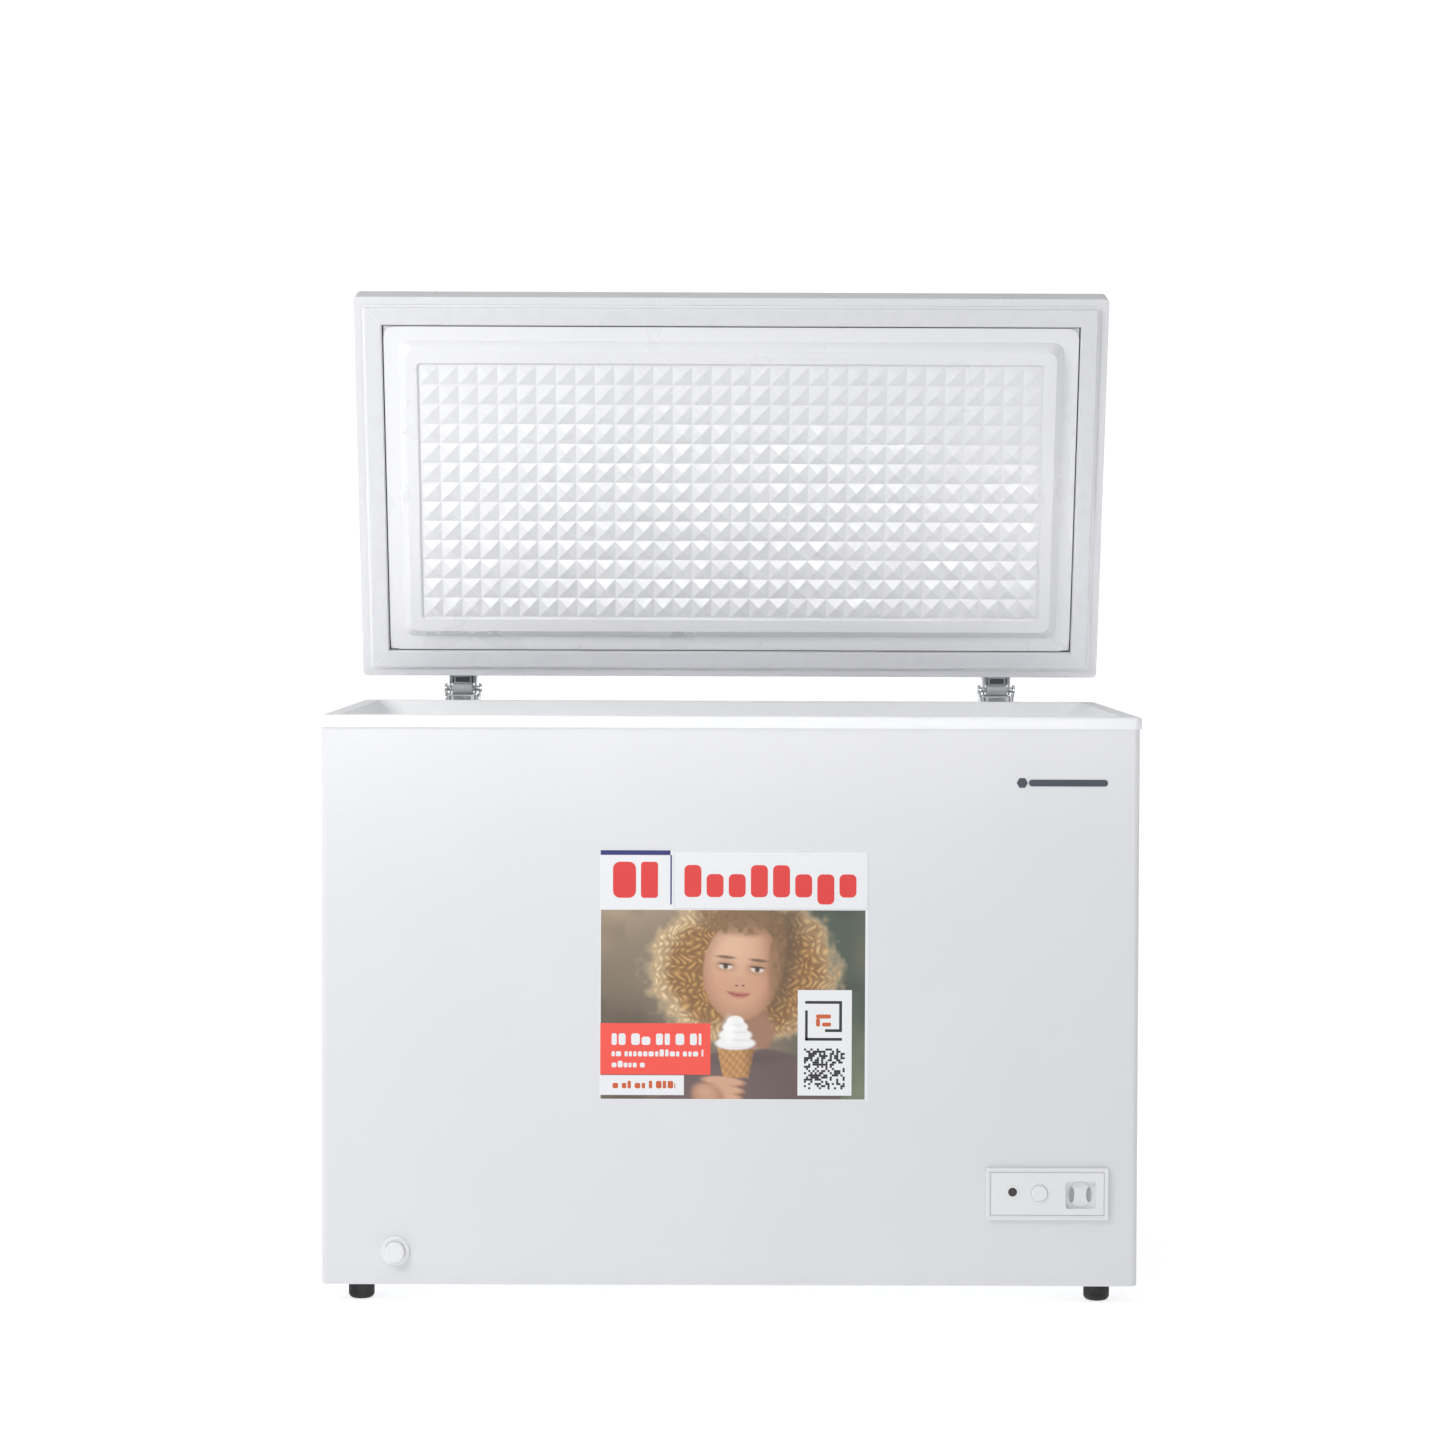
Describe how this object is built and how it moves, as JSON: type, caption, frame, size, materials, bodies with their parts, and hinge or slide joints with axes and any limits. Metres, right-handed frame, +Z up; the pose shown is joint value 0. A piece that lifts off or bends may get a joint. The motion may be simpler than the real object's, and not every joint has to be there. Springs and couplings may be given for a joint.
{
  "type": "chest freezer",
  "caption": "Chest freezer with a lift-up insulated lid on sprung hinges, stepped storage well, front control panel, drain and rubber feet.",
  "frame": {"origin": "on the floor, in the middle of the space that the open freezer takes up", "axes": "+X to the user's right, -Y the front, +Z up"},
  "size_m": [1.108, 0.6454, 1.4002],
  "materials": {
    "outer_shell": "white enamel, satin",
    "back_panel": "white enamel, satin",
    "galvanised": "galvanised sheet",
    "inner_liner": "embossed white sheet, satin",
    "white_plastic": "white, satin",
    "foam": "rigid polyurethane foam",
    "grey_plastic": "grey, matt",
    "aluminium_pipe": "drawn tube",
    "steel_pipe": "copper-washed steel tube",
    "compressor_black": "black enamel, gloss",
    "pump_iron": "machined casting",
    "rubber": "black, matt",
    "zinc": "zinc plated",
    "black_plastic": "black, matt",
    "copper": "copper",
    "dark_lens": "dark, gloss",
    "lamp": "clear",
    "printed_film": "printed film, gloss",
    "grey_print": "satin",
    "plated_steel": "zinc plated, bright",
    "spring_steel": "oiled",
    "hinge_plastic": "white acetal",
    "lid_enamel": "white enamel, satin",
    "lid_liner": "white, gloss, embossed",
    "gasket_vinyl": "white, soft, satin",
    "magnet": "bonded ferrite strip"
  },
  "bodies": {
    "cabinet": {"outer_shell": "outer_shell", "back_panel": "back_panel", "base_pan": "galvanised", "machine_divider": "galvanised", "inner_liner": "inner_liner", "top_rim": "white_plastic", "cabinet_foam": "foam", "drain_tube": "grey_plastic", "hinge_backing_plates": "galvanised", "evaporator_tube": "aluminium_pipe", "condenser_tube": "steel_pipe", "compressor_lower_shell": "compressor_black", "compressor_upper_shell": "compressor_black", "compressor_pump": "pump_iron", "compressor_grommets": "rubber", "compressor_bolts": "zinc", "relay_cover": "black_plastic", "filter_drier": "copper", "discharge_tube": "copper", "suction_tube": "copper", "capillary_tube": "copper", "side_vent_grille": "white_plastic", "rear_service_cover": "galvanised", "service_cover_screws": "zinc", "cord_gland": "black_plastic", "control_bezel": "white_plastic", "indicator_lens": "dark_lens", "indicator_lamp": "lamp", "button_switch": "black_plastic", "thermostat_body": "grey_plastic", "drain_escutcheon": "white_plastic", "rubber_feet": "rubber", "foot_screws": "zinc", "front_sticker": "printed_film", "name_badge": "grey_print", "bracket_screws": "zinc", "hinge_bracket_left": "plated_steel", "hinge_bracket_right": "plated_steel", "hinge_pin_left": "zinc", "hinge_pin_right": "zinc", "hinge_spring_left": "spring_steel", "hinge_spring_right": "spring_steel"},
    "lid": {"lid_skin": "lid_enamel", "lid_liner": "lid_liner", "lid_foam": "foam", "lid_gasket": "gasket_vinyl", "gasket_magnets": "magnet", "lid_backing_plates": "galvanised", "hinge_arm_left": "plated_steel", "hinge_arm_right": "plated_steel", "hinge_cam_left": "hinge_plastic", "hinge_cam_right": "hinge_plastic", "arm_screws": "zinc"},
    "plunger_left": {"hinge_plunger_left": "hinge_plastic"},
    "plunger_right": {"hinge_plunger_right": "hinge_plastic"},
    "knob": {"thermostat_knob": "white_plastic"},
    "button": {"fast_freeze_button": "white_plastic"},
    "drain_cap": {"drain_cap": "white_plastic"},
    "drain_plug": {"drain_plug": "white_plastic"}
  },
  "joints": [
    {"name": "lid_hinge", "type": "hinge", "parent": "cabinet", "child": "lid", "pos_m": [0, 0.28724, 0.81], "axis": [1, 0, 0], "range_deg": [0, 75.3], "stiffness_Nm_per_rad": 8, "springref_deg": -39.53},
    {"name": "plunger_left_slide", "type": "slide", "parent": "cabinet", "child": "plunger_left", "axis": [0, 0, 1], "range_m": [-0.012, 0], "deforming": ["hinge_spring_left"]},
    {"name": "plunger_right_slide", "type": "slide", "parent": "cabinet", "child": "plunger_right", "axis": [0, 0, 1], "range_m": [-0.012, 0], "deforming": ["hinge_spring_right"]},
    {"name": "knob_turn", "type": "hinge", "parent": "cabinet", "child": "knob", "pos_m": [0.4726, -0.31126, 0.1495], "axis": [0, 1, 0], "range_deg": [-135, 135]},
    {"name": "button_press", "type": "slide", "parent": "cabinet", "child": "button", "axis": [0, 1, 0], "range_m": [0, 0.0025], "stiffness_N_per_m": 400, "springref_m": -0.002},
    {"name": "drain_cap_pull", "type": "slide", "parent": "cabinet", "child": "drain_cap", "axis": [0, -1, 0], "range_m": [0, 0.06]},
    {"name": "drain_plug_lift", "type": "slide", "parent": "cabinet", "child": "drain_plug", "axis": [0, 0, 1], "range_m": [0, 0.3]}
  ],
  "couplings": [
    {"joint": "plunger_left_slide", "follows": "lid_hinge", "m_per_rad": -0.009},
    {"joint": "plunger_right_slide", "follows": "lid_hinge", "m_per_rad": -0.009}
  ]
}
